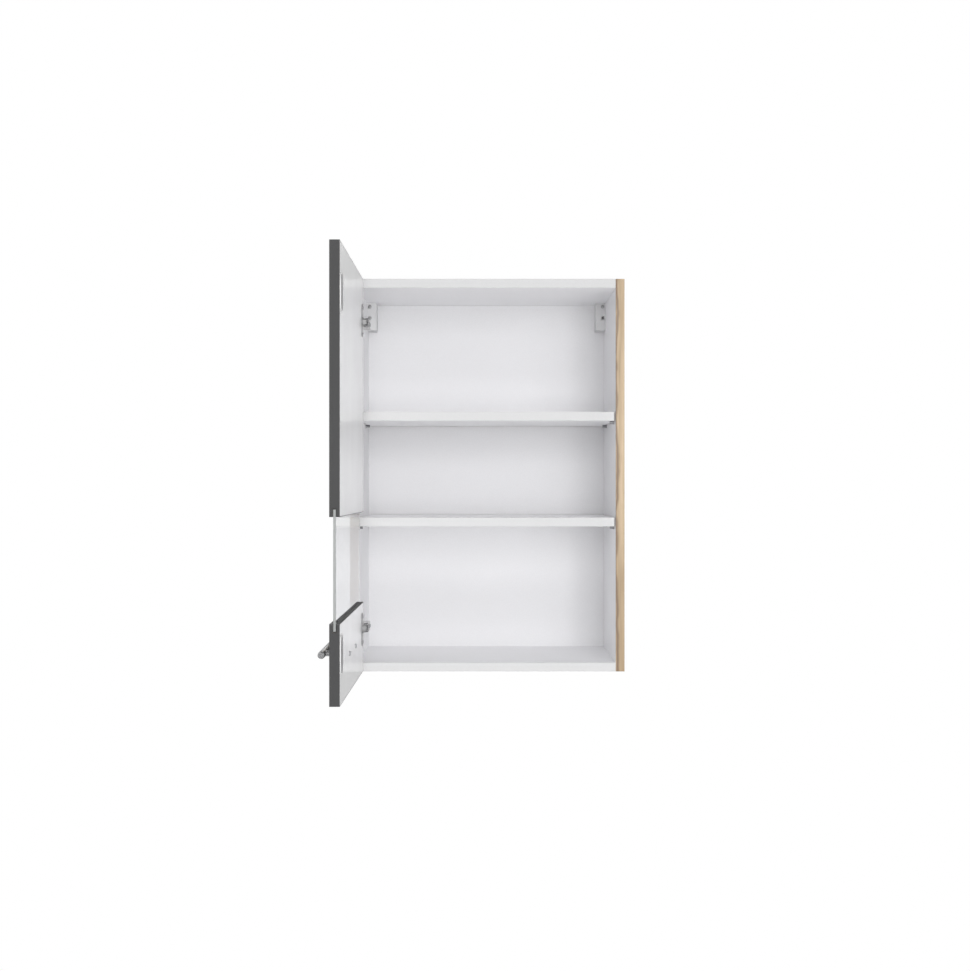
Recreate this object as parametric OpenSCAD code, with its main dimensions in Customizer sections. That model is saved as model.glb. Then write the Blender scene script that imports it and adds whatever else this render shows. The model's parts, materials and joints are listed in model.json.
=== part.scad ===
// Hanging wall cabinet with one left-hung door, shown with the door open at 90 degrees.
// Millimetres, +Z up. The wall is the plane y = 0, the front is towards -Y,
// the underside is z = 0 and x = 0 is the middle of the cabinet's width.

/* [Carcass] */
// Outer width of the carcass
body_w = 500; // [450:10:600]
// Outer height of the carcass
body_h = 710; // [690:10:800]
// Depth of the carcass without the door
body_d = 325; // [310:5:360]
// Thickness of the side, top, bottom and shelf boards
board_t = 16; // [16:1:18]
// Thickness of the back panel
back_t = 3; // [3:0.2:4]
// Space between the wall and the back panel
back_recess = 14; // [13:1:20]

/* [Shelves] */
// Height of the upper shelf's underside
shelf_upper_z = 454; // [420:2:520]
// Height of the lower shelf's underside
shelf_lower_z = 262; // [200:2:300]
// Set-back of the shelves behind the carcass front
shelf_setback = 8; // [4:1:20]

/* [Door] */
// Gap between the closed door and the carcass front
door_gap = 2; // [1.5:0.1:2.5]
// Reveal of the carcass around the closed door
door_reveal = 1.5; // [1:0.1:2]
// Height of the lower door panel
lower_panel_h = 125; // [110:1:140]
// Height of the clear glass strip between the door panels
glass_h = 162; // [140:1:180]
// Thickness of the glass
glass_t = 4; // [4:0.5:5]

/* [Hardware] */
// Length of the handle bar
handle_l = 188; // [160:2:240]
// Distance between the handle's screws
handle_pitch = 128; // [96:32:128]
// Diameter of the handle bar
handle_d = 12; // [10:1:14]
// Distance from the outer panel face to the bar's axis
handle_reach = 27; // [24:1:34]
// Distance of the hinge centres from the door's ends
hinge_inset = 77.5; // [70:0.5:100]

/* [Hidden] */

$fn = 48;
eps = 0.01;

// A hole is wider and deeper than what sits in it by these amounts
hole_play = 0.04;
hole_end = 0.2;

// Carcass
half_w = body_w / 2;
inner_x = half_w - board_t;
front_y = -body_d;
band_t = 1;
back_front_y = -(back_recess + back_t);
groove_play = 0.1;
groove_depth = 8;
back_tongue = 7.5;
ceiling_z = body_h - board_t;
end_mid_zs = [board_t / 2, ceiling_z + board_t / 2];

// Shelves
shelf_side_gap = 1.5;
shelf_w = 2 * (inner_x - shelf_side_gap);
shelf_front_y = front_y + shelf_setback;
shelf_back_gap = 2;
shelf_back_y = back_front_y - shelf_back_gap;
pin_d = 5;
pin_collar_d = 7;
pin_collar_t = 1;
pin_proud = 8;
pin_seat = 9;
pin_front_inset = 37;
pin_pitch = 192;
pin_ys = [front_y + pin_front_inset, front_y + pin_front_inset + pin_pitch];

// Door
door_w = body_w - 2 * door_reveal;
door_h = body_h - 2 * door_reveal;
door_z0 = door_reveal;
door_z1 = door_z0 + door_h;
lower_top_z = door_z0 + lower_panel_h;
upper_low_z = lower_top_z + glass_h;
door_t = 16;
mid_q = door_t / 2;
glass_groove = 13;
glass_seat = 11.5;
seal_t = 1.3;
groove_w = glass_t + 2 * seal_t;
glass_end_gap = 3;

// Hinge linkage, seen along the pivots. u is measured from the side panel's inner face
// towards the middle of the cabinet, v from the carcass front towards the wall. On the door,
// p is measured from the hinge-side edge and q from the inner face into the panel.
open_face_u = 12;
closed_edge_u = -(board_t - door_reveal);
inner_g = [11.5, 1.5];
inner_p = [11, 6];
outer_g = [17, 12];
outer_p = [9.6, 2.4];
inner_elbows = [[16, -4], [16.2, -12.4]];
outer_elbows = [[18.4, -3], [17.8, -12.4]];
inner_p_closed = [closed_edge_u + inner_p[0], -door_gap - inner_p[1]];
inner_len = norm(inner_p_closed - inner_g);
open_edge_v = sqrt(pow(inner_len, 2) - pow(open_face_u - inner_p[1] - inner_g[0], 2))
    - inner_p[0] - inner_g[1];
hinge_zs = [door_z0 + hinge_inset, door_z1 - hinge_inset];
cup_d = 35;
cup_body_d = 34.9;
cup_rim_d = 38;
cup_depth = 13;
cup_edge = 22.5;
flange_t = 1.2;
flange_p = [25.5, 38.5];
flange_hole_d = 3.6;
cup_screw_p = 32;
cup_screw_z = 22.5;
cup_screw_d = 3.5;
cup_screw_l = 12;
cup_screw_head_d = 7;
cup_screw_head_t = 1.6;
cup_pin_hz = 9.5;
pocket_hz = 6.6;
pocket_floor = 0.8;
outer_hz = 4.2;
plate_z0 = 4.6;
plate_z1 = 6.2;
arm_hz = 8.2;
arm_top_u = 20;
stub_z = 4.4;
stub_r = 1;
stub_play = 0.05;
bar_hw = 1.3;
elbow_r = 1.6;
boss_r = 2;
plate_v = 37;
plate_wing_t = 2.5;
plate_wing_d = 12;
plate_screw_z = 16;
plate_screw_d = 5;
plate_screw_l = 11;
plate_head_d = 8;
plate_head_t = 2;
saddle_u = 8;
saddle_v = [20, 60];
saddle_hz = 6.4;
arm_screw_vs = [28, 48];
arm_screw_d = 4;
arm_screw_u = 3.5;
arm_head_d = 7;
arm_head_t = 1.5;
arm_back_v = 58;
arm_sheet = 1.5;
cross_t = 0.9;
cross_l = 4.4;
cross_depth = 1.2;

// Handle
handle_p = door_w / 2;
post_ps = [handle_p - handle_pitch / 2, handle_p + handle_pitch / 2];
handle_z = 64;
handle_q = door_t + handle_reach;
handle_chamfer = 0.8;
post_d = 9;
post_q1 = handle_q - 3;
handle_screw_d = 4;
handle_hole_d = 4.5;
handle_screw_q1 = post_q1 - 2;
handle_head_d = 8.5;
handle_head_t = 2.2;

// Corner fittings of the top and bottom boards
cam_inset = 24;
cam_ys = [-60, -265];
dowel_ys = [-92, -233];
cam_d = 15;
cam_depth = 13.2;
cam_gap = 0.1;
cap_t = 1.1;
bolt_bore_d = 7.2;
bolt_d = 5;
bolt_seat = 11;
bolt_shaft_d = 6;
bolt_head_d = 7;
bolt_head_l = 3;
dowel_d = 8;
dowel_seat = 11;
dowel_run = 24;

// Cabinet hangers
hanger_w = 18.5;
hanger_z0 = 641;
hanger_z1 = ceiling_z;
hanger_front_y = -65;
hanger_wall = 2;
hanger_front_t = 3;
hanger_side_t = 1.5;
hook_x = inner_x - 11;
hook_t = 2.5;
hook_ys = [-58, -11, -8, -2];
hook_zs = [652, 660, 668, 682];
hook_cut_hw = 6;
hook_cut_zs = [646, 688];
adjust_x = inner_x - 5.5;
adjust_hole_d = 7;
adjust_head_d = 6.8;
adjust_shaft_d = 5;
adjust_head_ys = [hanger_front_y + 1, hanger_front_y + 4];
height_screw_z = 687;
height_screw_y1 = hanger_front_y + 34;
depth_screw_z = 665;
depth_screw_y1 = hanger_front_y + 40;
fixing_ys = [-54, -30];
fixing_z = 647;
fixing_d = 3.5;
fixing_l = 12;
fixing_hole_d = 3.6;
fixing_head_d = 7;
fixing_head_t = 2;

function ux(u) = -inner_x + u;
function vy(v) = front_y + v;
function dx(q) = ux(open_face_u - q);
function dy(p) = vy(-open_edge_v - p);

// The cup ends of the two links with the door open
inner_open = [open_face_u - inner_p[1], -open_edge_v - inner_p[0]];
outer_open = [open_face_u - outer_p[1], -open_edge_v - outer_p[0]];

module box(x0, x1, y0, y1, z0, z1) {
    translate([x0, y0, z0]) cube([x1 - x0, y1 - y0, z1 - z0]);
}

module rod_x(x0, x1, y, z, d) {
    translate([x0, y, z]) rotate([0, 90, 0]) cylinder(d = d, h = x1 - x0);
}

module rod_y(x, y0, y1, z, d) {
    translate([x, y1, z]) rotate([90, 0, 0]) cylinder(d = d, h = y1 - y0);
}

module door_box(p0, p1, q0, q1, z0, z1) {
    box(dx(q1), dx(q0), dy(p1), dy(p0), z0, z1);
}

module door_rod(p, z, q0, q1, d) {
    rod_x(dx(q1), dx(q0), dy(p), z, d);
}

module mirrored_x() {
    children();
    mirror([1, 0, 0]) children();
}

// Carcass boards

module back_groove() {
    box(-inner_x - groove_depth, inner_x + groove_depth,
        back_front_y - groove_play, -back_recess + groove_play,
        board_t - groove_depth, ceiling_z + groove_depth);
}

// A blind hole in the inner face of the right side panel, for a rod of this size
module side_hole(y, z, rod_d, rod_l) {
    rod_x(inner_x - eps, inner_x + rod_l + hole_end, y, z, rod_d + hole_play);
}

module side_panel(hinge_side) {
    difference() {
        box(inner_x, half_w, front_y + band_t, 0, 0, body_h);
        back_groove();
        for (shelf_z = [shelf_lower_z, shelf_upper_z], y = pin_ys) {
            side_hole(y, shelf_z - pin_d / 2, pin_d, pin_seat);
        }
        for (z = end_mid_zs) {
            for (y = cam_ys) side_hole(y, z, bolt_d, bolt_seat);
            for (y = dowel_ys) side_hole(y, z, dowel_d, dowel_seat);
        }
        for (y = fixing_ys) side_hole(y, fixing_z, fixing_d, fixing_l);
        if (hinge_side) {
            for (z = hinge_zs, s = [-1, 1]) {
                side_hole(vy(plate_v), z + s * plate_screw_z, plate_screw_d, plate_screw_l);
            }
        }
    }
}

module side_panel_left() {
    color([0.80, 0.74, 0.62]) mirror([1, 0, 0]) side_panel(true);
}

module side_panel_right() {
    color([0.80, 0.74, 0.62]) side_panel(false);
}

// One end board: z0 is its underside, and the cams sit in its top or its bottom face
module end_board(z0, cams_up) {
    mid_z = z0 + board_t / 2;
    difference() {
        box(-inner_x, inner_x, front_y + band_t, 0, z0, z0 + board_t);
        back_groove();
        mirrored_x() {
            for (y = cam_ys) {
                translate([inner_x - cam_inset, y, cams_up ? z0 + board_t - cam_depth : z0 - eps])
                    cylinder(d = cam_d + hole_play, h = cam_depth + eps);
                rod_x(inner_x - cam_inset, inner_x + eps, y, mid_z, bolt_bore_d);
            }
            for (y = dowel_ys) {
                rod_x(inner_x - dowel_run - hole_end, inner_x + eps, y, mid_z, dowel_d + hole_play);
            }
        }
    }
}

module top_panel() {
    color("white") end_board(ceiling_z, true);
}

module bottom_panel() {
    color("white") end_board(0, false);
}

module back_panel() {
    color([0.93, 0.93, 0.95]) difference() {
        box(-inner_x - back_tongue, inner_x + back_tongue, back_front_y, -back_recess,
            board_t - back_tongue, ceiling_z + back_tongue);
        mirrored_x() box(hook_x - hook_cut_hw, hook_x + hook_cut_hw, back_front_y - 1, 0,
            hook_cut_zs[0], hook_cut_zs[1]);
    }
}

module shelf(z0) {
    color("white") box(-shelf_w / 2, shelf_w / 2, shelf_front_y + band_t, shelf_back_y,
        z0, z0 + board_t);
}

module shelf_upper() {
    shelf(shelf_upper_z);
}

module shelf_lower() {
    shelf(shelf_lower_z);
}

// Edge bands of the carcass

module side_edge_band_left() {
    color([0.76, 0.70, 0.56]) box(-half_w, -inner_x, front_y, front_y + band_t, 0, body_h);
}

module side_edge_band_right() {
    color([0.76, 0.70, 0.56]) box(inner_x, half_w, front_y, front_y + band_t, 0, body_h);
}

module top_edge_band() {
    color("white") box(-inner_x, inner_x, front_y, front_y + band_t, ceiling_z, body_h);
}

module bottom_edge_band() {
    color("white") box(-inner_x, inner_x, front_y, front_y + band_t, 0, board_t);
}

module shelf_band(z0) {
    color("white") box(-shelf_w / 2, shelf_w / 2, shelf_front_y, shelf_front_y + band_t,
        z0, z0 + board_t);
}

module shelf_upper_edge_band() {
    shelf_band(shelf_upper_z);
}

module shelf_lower_edge_band() {
    shelf_band(shelf_lower_z);
}

// Shelf pins and corner fittings

module shelf_pins(shelf_z) {
    pin_z = shelf_z - pin_d / 2;
    color([0.45, 0.45, 0.46]) mirrored_x() for (y = pin_ys) {
        rod_x(inner_x - pin_proud, inner_x + pin_seat, y, pin_z, pin_d);
        rod_x(inner_x - pin_collar_t, inner_x, y, pin_z, pin_collar_d);
    }
}

module shelf_pins_upper() {
    shelf_pins(shelf_upper_z);
}

module shelf_pins_lower() {
    shelf_pins(shelf_lower_z);
}

module cam_locks() {
    lock_h = cam_depth - cap_t - 2 * cam_gap;
    lock_z0s = [cap_t + cam_gap, body_h - cam_depth + cam_gap];
    slot_end = 1.5;
    slot_d = 7.4;
    color([0.7, 0.7, 0.72]) mirrored_x() for (y = cam_ys, i = [0, 1]) {
        difference() {
            translate([inner_x - cam_inset, y, lock_z0s[i]]) cylinder(d = cam_d, h = lock_h);
            rod_x(inner_x - cam_inset - slot_end, inner_x, y, end_mid_zs[i], slot_d);
        }
    }
}

module cam_bolts() {
    head_x = inner_x - cam_inset + bolt_head_l;
    color([0.6, 0.6, 0.62]) mirrored_x() for (y = cam_ys, z = end_mid_zs) {
        rod_x(inner_x, inner_x + bolt_seat, y, z, bolt_d);
        rod_x(head_x, inner_x, y, z, bolt_shaft_d);
        rod_x(inner_x - cam_inset, head_x, y, z, bolt_head_d);
    }
}

module wood_dowels() {
    color("burlywood") mirrored_x() for (y = dowel_ys, z = end_mid_zs) {
        rod_x(inner_x - dowel_run, inner_x + dowel_seat, y, z, dowel_d);
    }
}

module cam_caps() {
    color("white") mirrored_x() for (y = cam_ys, z = [0, body_h - cap_t]) {
        translate([inner_x - cam_inset, y, z]) cylinder(d = cam_d, h = cap_t);
    }
}

// Cabinet hangers: a plastic body on the side panel, a steel hook that passes the back panel,
// two adjusting screws in front and two fixing screws

module hanger_body() {
    color([0.88, 0.88, 0.88]) difference() {
        box(inner_x - hanger_w, inner_x, hanger_front_y, back_front_y, hanger_z0, hanger_z1);
        box(inner_x - hanger_w + hanger_wall, inner_x - hanger_side_t,
            hanger_front_y + hanger_front_t, back_front_y + 1,
            hanger_z0 + hanger_wall, hanger_z1 - hanger_wall);
        for (z = [height_screw_z, depth_screw_z]) {
            rod_y(adjust_x, hanger_front_y - 1, adjust_head_ys[1], z, adjust_hole_d);
        }
        for (y = fixing_ys) {
            rod_x(inner_x - 2 * hanger_side_t, inner_x + 1, y, fixing_z, fixing_hole_d);
        }
    }
}

module hanger_body_right() {
    hanger_body();
}

module hanger_body_left() {
    mirror([1, 0, 0]) hanger_body();
}

module hanger_hook() {
    color([0.72, 0.73, 0.75]) translate([hook_x - hook_t / 2, 0, 0]) rotate([90, 0, 90])
        linear_extrude(hook_t) polygon([
            [hook_ys[0], hook_zs[2]], [hook_ys[1], hook_zs[2]], [hook_ys[1], hook_zs[1]],
            [hook_ys[2], hook_zs[0]], [hook_ys[3], hook_zs[0]], [hook_ys[3], hook_zs[3]],
            [hook_ys[0], hook_zs[3]]
        ]);
}

module hanger_hook_right() {
    hanger_hook();
}

module hanger_hook_left() {
    mirror([1, 0, 0]) hanger_hook();
}

// A cross-slotted adjusting screw that lies along Y
module adjust_screw(z, y1) {
    slot_l = 4;
    slot_y1 = adjust_head_ys[0] + 1.4;
    difference() {
        union() {
            rod_y(adjust_x, adjust_head_ys[0], adjust_head_ys[1], z, adjust_head_d);
            rod_y(adjust_x, adjust_head_ys[1], y1, z, adjust_shaft_d);
        }
        for (size = [[slot_l, cross_t], [cross_t, slot_l]]) {
            box(adjust_x - size[0] / 2, adjust_x + size[0] / 2, hanger_front_y, slot_y1,
                z - size[1] / 2, z + size[1] / 2);
        }
    }
}

module hanger_height_screws() {
    color([0.5, 0.5, 0.52]) mirrored_x() adjust_screw(height_screw_z, height_screw_y1);
}

module hanger_depth_screws() {
    color([0.5, 0.5, 0.52]) mirrored_x() adjust_screw(depth_screw_z, depth_screw_y1);
}

module hanger_fixing_screws() {
    color([0.6, 0.6, 0.62]) mirrored_x() for (y = fixing_ys) {
        rod_x(inner_x - hanger_side_t, inner_x + fixing_l, y, fixing_z, fixing_d);
        rod_x(inner_x - hanger_side_t - fixing_head_t, inner_x - hanger_side_t, y, fixing_z,
            fixing_head_d);
    }
}

// Hinges, carcass side

module hinge_plate(hz) {
    wing_r = plate_wing_d / 2;
    color([0.74, 0.74, 0.75]) difference() {
        union() {
            box(ux(0), ux(plate_wing_t), vy(plate_v - wing_r), vy(plate_v + wing_r),
                hz - plate_screw_z, hz + plate_screw_z);
            for (s = [-1, 1]) {
                rod_x(ux(0), ux(plate_wing_t), vy(plate_v), hz + s * plate_screw_z, plate_wing_d);
            }
            box(ux(0), ux(saddle_u), vy(saddle_v[0]), vy(saddle_v[1]),
                hz - saddle_hz, hz + saddle_hz);
        }
        for (s = [-1, 1]) {
            rod_x(ux(-1), ux(plate_wing_t + 1), vy(plate_v), hz + s * plate_screw_z,
                plate_screw_d + hole_play);
        }
        for (v = arm_screw_vs) {
            rod_x(ux(arm_screw_u - 0.5), ux(saddle_u + 1), vy(v), hz, arm_screw_d + hole_play);
        }
    }
}

module hinge_plate_upper() {
    hinge_plate(hinge_zs[1]);
}

module hinge_plate_lower() {
    hinge_plate(hinge_zs[0]);
}

module hinge_plate_screws() {
    plate_head_u = plate_wing_t + plate_head_t;
    color([0.7, 0.7, 0.72]) for (z = hinge_zs, s = [-1, 1]) {
        difference() {
            union() {
                rod_x(ux(-plate_screw_l), ux(plate_wing_t), vy(plate_v), z + s * plate_screw_z,
                    plate_screw_d);
                rod_x(ux(plate_wing_t), ux(plate_head_u), vy(plate_v), z + s * plate_screw_z,
                    plate_head_d);
            }
            cross_slot(plate_head_u, plate_v, z + s * plate_screw_z);
        }
    }
}

// A cross recess in a screw head whose face is at u
module cross_slot(u, v, z) {
    for (size = [[cross_l, cross_t], [cross_t, cross_l]]) {
        box(ux(u - cross_depth), ux(u + 1), vy(v) - size[0] / 2, vy(v) + size[0] / 2,
            z - size[1] / 2, z + size[1] / 2);
    }
}

module hinge_arm(hz) {
    wall_profile = [
        [3, arm_back_v], [arm_top_u, arm_back_v], [arm_top_u, 5], [15, -0.3], [9, -0.3], [8, 3],
        [3, 14]
    ];
    roof_v = 16;
    color([0.74, 0.74, 0.75]) difference() {
        union() {
            for (z = [hz - arm_hz, hz + pocket_hz]) {
                translate([0, 0, z]) linear_extrude(arm_hz - pocket_hz)
                    polygon([for (w = wall_profile) [ux(w[0]), vy(w[1])]]);
            }
            box(ux(arm_top_u - arm_sheet), ux(arm_top_u), vy(roof_v), vy(arm_back_v),
                hz - arm_hz, hz + arm_hz);
        }
        for (g = [inner_g, outer_g]) {
            translate([ux(g[0]), vy(g[1]), hz - arm_hz - 1])
                cylinder(r = stub_r + hole_play / 2, h = 2 * arm_hz + 2);
        }
        for (v = arm_screw_vs) {
            rod_x(ux(arm_top_u - 2), ux(arm_top_u + 1), vy(v), hz, arm_screw_d + hole_play);
        }
    }
}

module hinge_arm_upper() {
    hinge_arm(hinge_zs[1]);
}

module hinge_arm_lower() {
    hinge_arm(hinge_zs[0]);
}

module hinge_arm_screws() {
    color([0.66, 0.66, 0.68]) for (z = hinge_zs, v = arm_screw_vs) {
        difference() {
            union() {
                rod_x(ux(arm_screw_u), ux(arm_top_u), vy(v), z, arm_screw_d);
                rod_x(ux(arm_top_u), ux(arm_top_u + arm_head_t), vy(v), z, arm_head_d);
            }
            cross_slot(arm_top_u + arm_head_t, v, z);
        }
    }
}

module hinge_arm_pins() {
    color([0.6, 0.6, 0.62]) for (z = hinge_zs) {
        for (z0 = [z - arm_hz, z + stub_z]) {
            translate([ux(inner_g[0]), vy(inner_g[1]), z0])
                cylinder(r = stub_r, h = arm_hz - stub_z);
        }
        translate([ux(outer_g[0]), vy(outer_g[1]), z - arm_hz])
            cylinder(r = stub_r, h = 2 * arm_hz);
    }
}

// Hinge links: flat bars that follow a bent line of points

module bar_outline(points) {
    for (i = [0 : len(points) - 1]) {
        r = i == 0 || i == len(points) - 1 ? boss_r : elbow_r;
        translate([ux(points[i][0]), vy(points[i][1])]) circle(r = r);
    }
    for (i = [0 : len(points) - 2]) {
        run = points[i + 1] - points[i];
        translate([ux(points[i][0]), vy(points[i][1])]) rotate(atan2(run[1], run[0]))
            translate([0, -bar_hw]) square([norm(run), 2 * bar_hw]);
    }
}

module bent_bar(points, z0, z1) {
    translate([0, 0, z0]) linear_extrude(z1 - z0) bar_outline(points);
}

module inner_link(hz) {
    points = concat([inner_g], inner_elbows, [inner_open]);
    plate_t = plate_z1 - plate_z0;
    color([0.7, 0.7, 0.71]) for (z0 = [hz - plate_z1, hz + plate_z0]) difference() {
        bent_bar(points, z0, z0 + plate_t);
        for (end = [inner_g, inner_open]) {
            translate([ux(end[0]), vy(end[1]), z0 - 1])
                cylinder(r = stub_r + stub_play, h = plate_t + 2);
        }
    }
}

module outer_link(hz) {
    points = concat([outer_g], outer_elbows, [outer_open]);
    color([0.7, 0.7, 0.71]) difference() {
        bent_bar(points, hz - outer_hz, hz + outer_hz);
        translate([ux(outer_g[0]), vy(outer_g[1]), hz - outer_hz - 1])
            cylinder(r = stub_r + stub_play, h = 2 * outer_hz + 2);
    }
}

module hinge_upper_inner_link() {
    inner_link(hinge_zs[1]);
}

module hinge_upper_outer_link() {
    outer_link(hinge_zs[1]);
}

module hinge_lower_inner_link() {
    inner_link(hinge_zs[0]);
}

module hinge_lower_outer_link() {
    outer_link(hinge_zs[0]);
}

// Hinges, door side

// The slot in the cup that the links fold into
module cup_pocket(hz) {
    deep_p = [8, 37];
    mouth_p = 5.6;
    mouth_q = 5.5;
    above_q = -2;
    door_box(deep_p[0], deep_p[1], above_q, cup_depth - pocket_floor,
        hz - pocket_hz, hz + pocket_hz);
    door_box(0, deep_p[0] + eps, above_q, 0, hz - pocket_hz, hz + pocket_hz);
    door_box(mouth_p, deep_p[0] + eps, -eps, mouth_q, hz - pocket_hz, hz + pocket_hz);
}

module hinge_cup(hz) {
    color([0.78, 0.78, 0.79]) difference() {
        union() {
            door_rod(cup_edge, hz, 0, cup_depth, cup_body_d);
            door_rod(cup_edge, hz, -flange_t, 0, cup_rim_d);
            door_box(flange_p[0], flange_p[1], -flange_t, 0, hz - cup_screw_z, hz + cup_screw_z);
            for (s = [-1, 1]) {
                door_rod(cup_screw_p, hz + s * cup_screw_z, -flange_t, 0,
                    flange_p[1] - flange_p[0]);
            }
        }
        cup_pocket(hz);
        translate([dx(inner_p[1]), dy(inner_p[0]), hz - cup_pin_hz - hole_end])
            cylinder(r = stub_r + hole_play / 2, h = 2 * (cup_pin_hz + hole_end));
        for (s = [-1, 1]) {
            door_rod(cup_screw_p, hz + s * cup_screw_z, -flange_t - 1, 1, flange_hole_d);
        }
    }
}

module hinge_cup_upper() {
    hinge_cup(hinge_zs[1]);
}

module hinge_cup_lower() {
    hinge_cup(hinge_zs[0]);
}

module hinge_cup_screws() {
    color([0.66, 0.66, 0.68]) for (z = hinge_zs, s = [-1, 1]) {
        door_rod(cup_screw_p, z + s * cup_screw_z, -flange_t, cup_screw_l, cup_screw_d);
        door_rod(cup_screw_p, z + s * cup_screw_z, -flange_t - cup_screw_head_t, -flange_t,
            cup_screw_head_d);
    }
}

module hinge_cup_pins() {
    color([0.6, 0.6, 0.62]) for (z = hinge_zs, z0 = [z - cup_pin_hz, z + stub_z]) {
        translate([dx(inner_p[1]), dy(inner_p[0]), z0])
            cylinder(r = stub_r, h = cup_pin_hz - stub_z);
    }
}

// Door

module glass_groove(z0, z1) {
    door_box(-1, door_w + 1, mid_q - groove_w / 2, mid_q + groove_w / 2, z0, z1);
}

module cup_bores(hz) {
    for (p = [cup_edge, door_w - cup_edge]) {
        door_rod(p, hz, -1, cup_depth + hole_end, cup_d);
    }
    for (s = [-1, 1]) {
        door_rod(cup_screw_p, hz + s * cup_screw_z, -1, cup_screw_l + hole_end,
            cup_screw_d + hole_play);
    }
}

module door_panel_upper() {
    color([0.30, 0.30, 0.31]) difference() {
        door_box(band_t, door_w - band_t, 0, door_t, upper_low_z + band_t, door_z1 - band_t);
        glass_groove(upper_low_z, upper_low_z + glass_groove);
        cup_bores(hinge_zs[1]);
    }
}

module door_panel_lower() {
    color([0.30, 0.30, 0.31]) difference() {
        door_box(band_t, door_w - band_t, 0, door_t, door_z0 + band_t, lower_top_z - band_t);
        glass_groove(lower_top_z - glass_groove, lower_top_z);
        cup_bores(hinge_zs[0]);
        for (p = post_ps) door_rod(p, handle_z, -1, door_t + 1, handle_hole_d);
    }
}

module edge_ring(z0, z1) {
    difference() {
        door_box(0, door_w, 0, door_t, z0, z1);
        door_box(band_t, door_w - band_t, -1, door_t + 1, z0 + band_t, z1 - band_t);
    }
}

module door_edge_band_upper() {
    color([0.34, 0.34, 0.34]) difference() {
        edge_ring(upper_low_z, door_z1);
        glass_groove(upper_low_z - 1, upper_low_z + glass_groove);
    }
}

module door_edge_band_lower() {
    color([0.34, 0.34, 0.34]) difference() {
        edge_ring(door_z0, lower_top_z);
        glass_groove(lower_top_z - glass_groove, lower_top_z + 1);
    }
}

module door_glass() {
    color([0.75, 0.85, 0.83, 0.4]) door_box(glass_end_gap / 2, door_w - glass_end_gap / 2,
        mid_q - glass_t / 2, mid_q + glass_t / 2,
        lower_top_z - glass_seat, upper_low_z + glass_seat);
}

// A U-shaped seal that lines one groove and holds one long edge of the glass
module glass_seal(z0, z1) {
    color([0.25, 0.25, 0.25]) difference() {
        door_box(glass_end_gap / 2, door_w - glass_end_gap / 2,
            mid_q - groove_w / 2, mid_q + groove_w / 2, z0, z1);
        door_box(-1, door_w + 1, mid_q - glass_t / 2, mid_q + glass_t / 2,
            lower_top_z - glass_seat, upper_low_z + glass_seat);
    }
}

module glass_seal_upper() {
    glass_seal(upper_low_z, upper_low_z + glass_groove);
}

module glass_seal_lower() {
    glass_seal(lower_top_z - glass_groove, lower_top_z);
}

// Cover cap over the spare cup boring: an oval plate with a round plug
module cover_cap(hz) {
    cap_p = door_w - cup_edge;
    plate_r = 19;
    plate_t = 1.6;
    end_z = 11;
    plug_q = 8;
    plug_d = cup_d - 0.2;
    plug_wall = 1.9;
    color([0.80, 0.80, 0.80]) difference() {
        union() {
            for (s = [-1, 1]) door_rod(cap_p, hz + s * end_z, -plate_t, 0, 2 * plate_r);
            door_box(cap_p - plate_r, cap_p + plate_r, -plate_t, 0, hz - end_z, hz + end_z);
            door_rod(cap_p, hz, 0, plug_q, plug_d);
        }
        door_rod(cap_p, hz, 1, plug_q + 1, plug_d - 2 * plug_wall);
    }
}

module cover_cap_upper() {
    cover_cap(hinge_zs[1]);
}

module cover_cap_lower() {
    cover_cap(hinge_zs[0]);
}

// Handle

module handle_bar() {
    r = handle_d / 2;
    rim_r = r - handle_chamfer;
    y0 = dy(handle_p) - handle_l / 2;
    color([0.42, 0.42, 0.43]) difference() {
        translate([dx(handle_q), y0, handle_z]) rotate([-90, 0, 0]) rotate_extrude() polygon([
            [0, 0], [rim_r, 0], [r, handle_chamfer], [r, handle_l - handle_chamfer],
            [rim_r, handle_l], [0, handle_l]
        ]);
        for (p = post_ps) {
            door_rod(p, handle_z, handle_q - handle_d, post_q1 + hole_play, post_d + hole_play);
        }
    }
}

module handle_posts() {
    color([0.45, 0.45, 0.46]) for (p = post_ps) difference() {
        door_rod(p, handle_z, door_t, post_q1, post_d);
        door_rod(p, handle_z, door_t - 1, handle_screw_q1 + hole_end, handle_screw_d + hole_play);
    }
}

module handle_screws() {
    color([0.7, 0.7, 0.72]) for (p = post_ps) {
        door_rod(p, handle_z, 0, handle_screw_q1, handle_screw_d);
        difference() {
            door_rod(p, handle_z, -handle_head_t, 0, handle_head_d);
            for (size = [[cross_l, cross_t], [cross_t, cross_l]]) {
                door_box(p - size[0] / 2, p + size[0] / 2,
                    -handle_head_t - 1, -handle_head_t + cross_depth,
                    handle_z - size[1] / 2, handle_z + size[1] / 2);
            }
        }
    }
}

side_panel_left();
side_panel_right();
top_panel();
bottom_panel();
back_panel();
shelf_upper();
shelf_lower();
side_edge_band_left();
side_edge_band_right();
top_edge_band();
bottom_edge_band();
shelf_upper_edge_band();
shelf_lower_edge_band();
shelf_pins_upper();
shelf_pins_lower();
cam_locks();
cam_bolts();
wood_dowels();
cam_caps();
hanger_body_left();
hanger_body_right();
hanger_hook_left();
hanger_hook_right();
hanger_height_screws();
hanger_depth_screws();
hanger_fixing_screws();
hinge_plate_upper();
hinge_plate_lower();
hinge_plate_screws();
hinge_arm_upper();
hinge_arm_lower();
hinge_arm_screws();
hinge_arm_pins();
hinge_upper_inner_link();
hinge_upper_outer_link();
hinge_lower_inner_link();
hinge_lower_outer_link();
door_panel_upper();
door_panel_lower();
door_glass();
door_edge_band_upper();
door_edge_band_lower();
glass_seal_upper();
glass_seal_lower();
hinge_cup_upper();
hinge_cup_lower();
hinge_cup_screws();
hinge_cup_pins();
cover_cap_upper();
cover_cap_lower();
handle_bar();
handle_posts();
handle_screws();
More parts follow.
